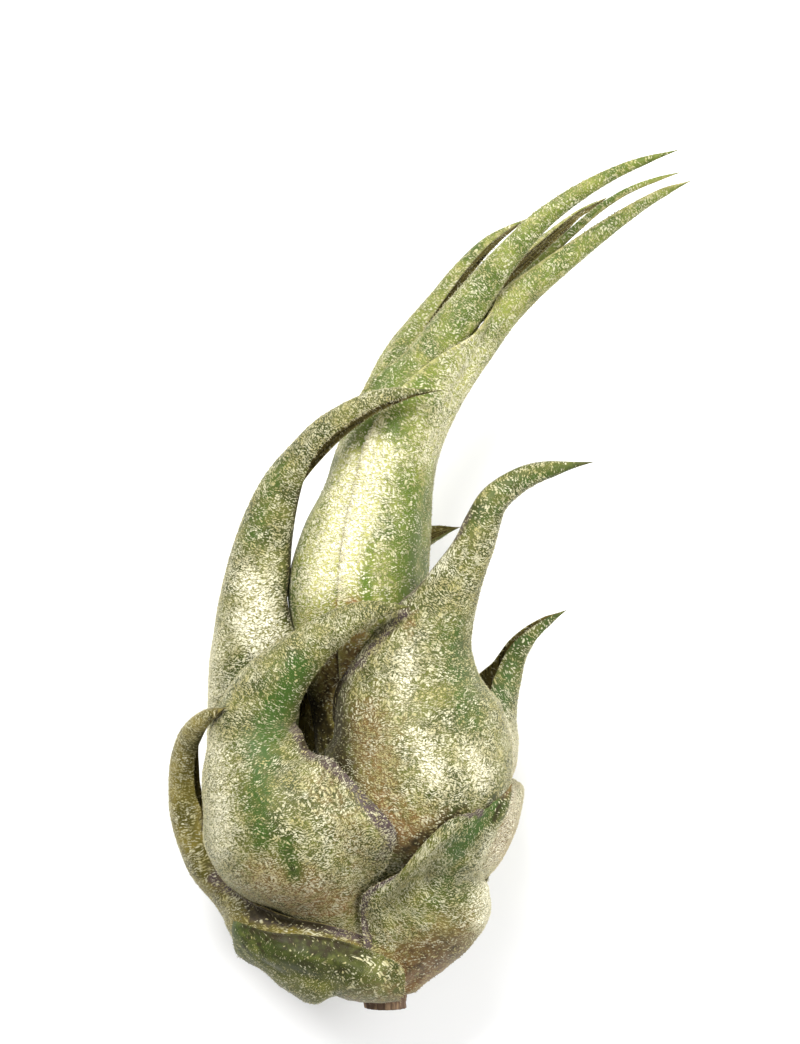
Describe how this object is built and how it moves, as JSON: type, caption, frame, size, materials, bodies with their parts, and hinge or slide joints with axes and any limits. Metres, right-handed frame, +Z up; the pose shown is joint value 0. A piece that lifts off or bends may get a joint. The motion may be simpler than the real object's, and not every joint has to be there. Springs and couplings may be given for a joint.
{
  "type": "air plant",
  "caption": "Bulbous air plant lying on its back: nested swollen leaf sheaths round a short stem, with a bent shaft and tapering channelled blades.",
  "frame": {"origin": "on the surface that the plant lies on, below the middle of its length and width", "axes": "+Z up, away from the surface; +Y from the root end towards the leaf tips; +X to the right as seen from above, the side that the shaft bends to"},
  "size_m": [0.1052, 0.1708, 0.0579],
  "materials": {
    "leaf": "matte",
    "young_leaf": "matte",
    "olive_leaf": "matte",
    "stem": "matte"
  },
  "bodies": {
    "root": {"stem": "stem", "shaft_core": "young_leaf", "shaft_inner": "young_leaf", "shaft_left": "young_leaf", "shaft_front": "young_leaf", "shaft_right": "young_leaf", "leaf_back": "leaf", "leaf_back_long": "leaf", "leaf_front_right": "leaf", "leaf_tall_left": "leaf", "leaf_right_back": "leaf", "leaf_front_left": "leaf", "leaf_back_right": "leaf", "leaf_back_left": "leaf", "leaf_far_left": "olive_leaf", "leaf_low_right": "leaf", "leaf_low_left": "leaf"}
  },
  "joints": []
}
